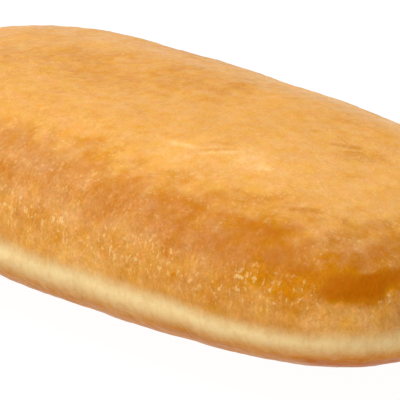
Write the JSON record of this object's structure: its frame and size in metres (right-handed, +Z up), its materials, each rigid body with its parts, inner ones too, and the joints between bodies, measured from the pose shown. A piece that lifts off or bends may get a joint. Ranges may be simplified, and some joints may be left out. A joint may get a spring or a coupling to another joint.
{
  "type": "long john doughnut",
  "caption": "Plain long john doughnut: a long, blunt-ended bar of fried dough with a gently domed top, full sides, a pale ring round its edge and a settled underside.",
  "frame": {"origin": "middle of the bar's footprint, on the surface that it rests on", "axes": "+X along the bar, +Y across it, +Z up through its domed top"},
  "size_m": [0.1582, 0.0732, 0.0364],
  "materials": {
    "fried_crust": "satin, slightly oily golden brown crust, with a pale matt ring of crumb at half height"
  },
  "bodies": {
    "root": {"dough_bar": "fried_crust"}
  },
  "joints": []
}
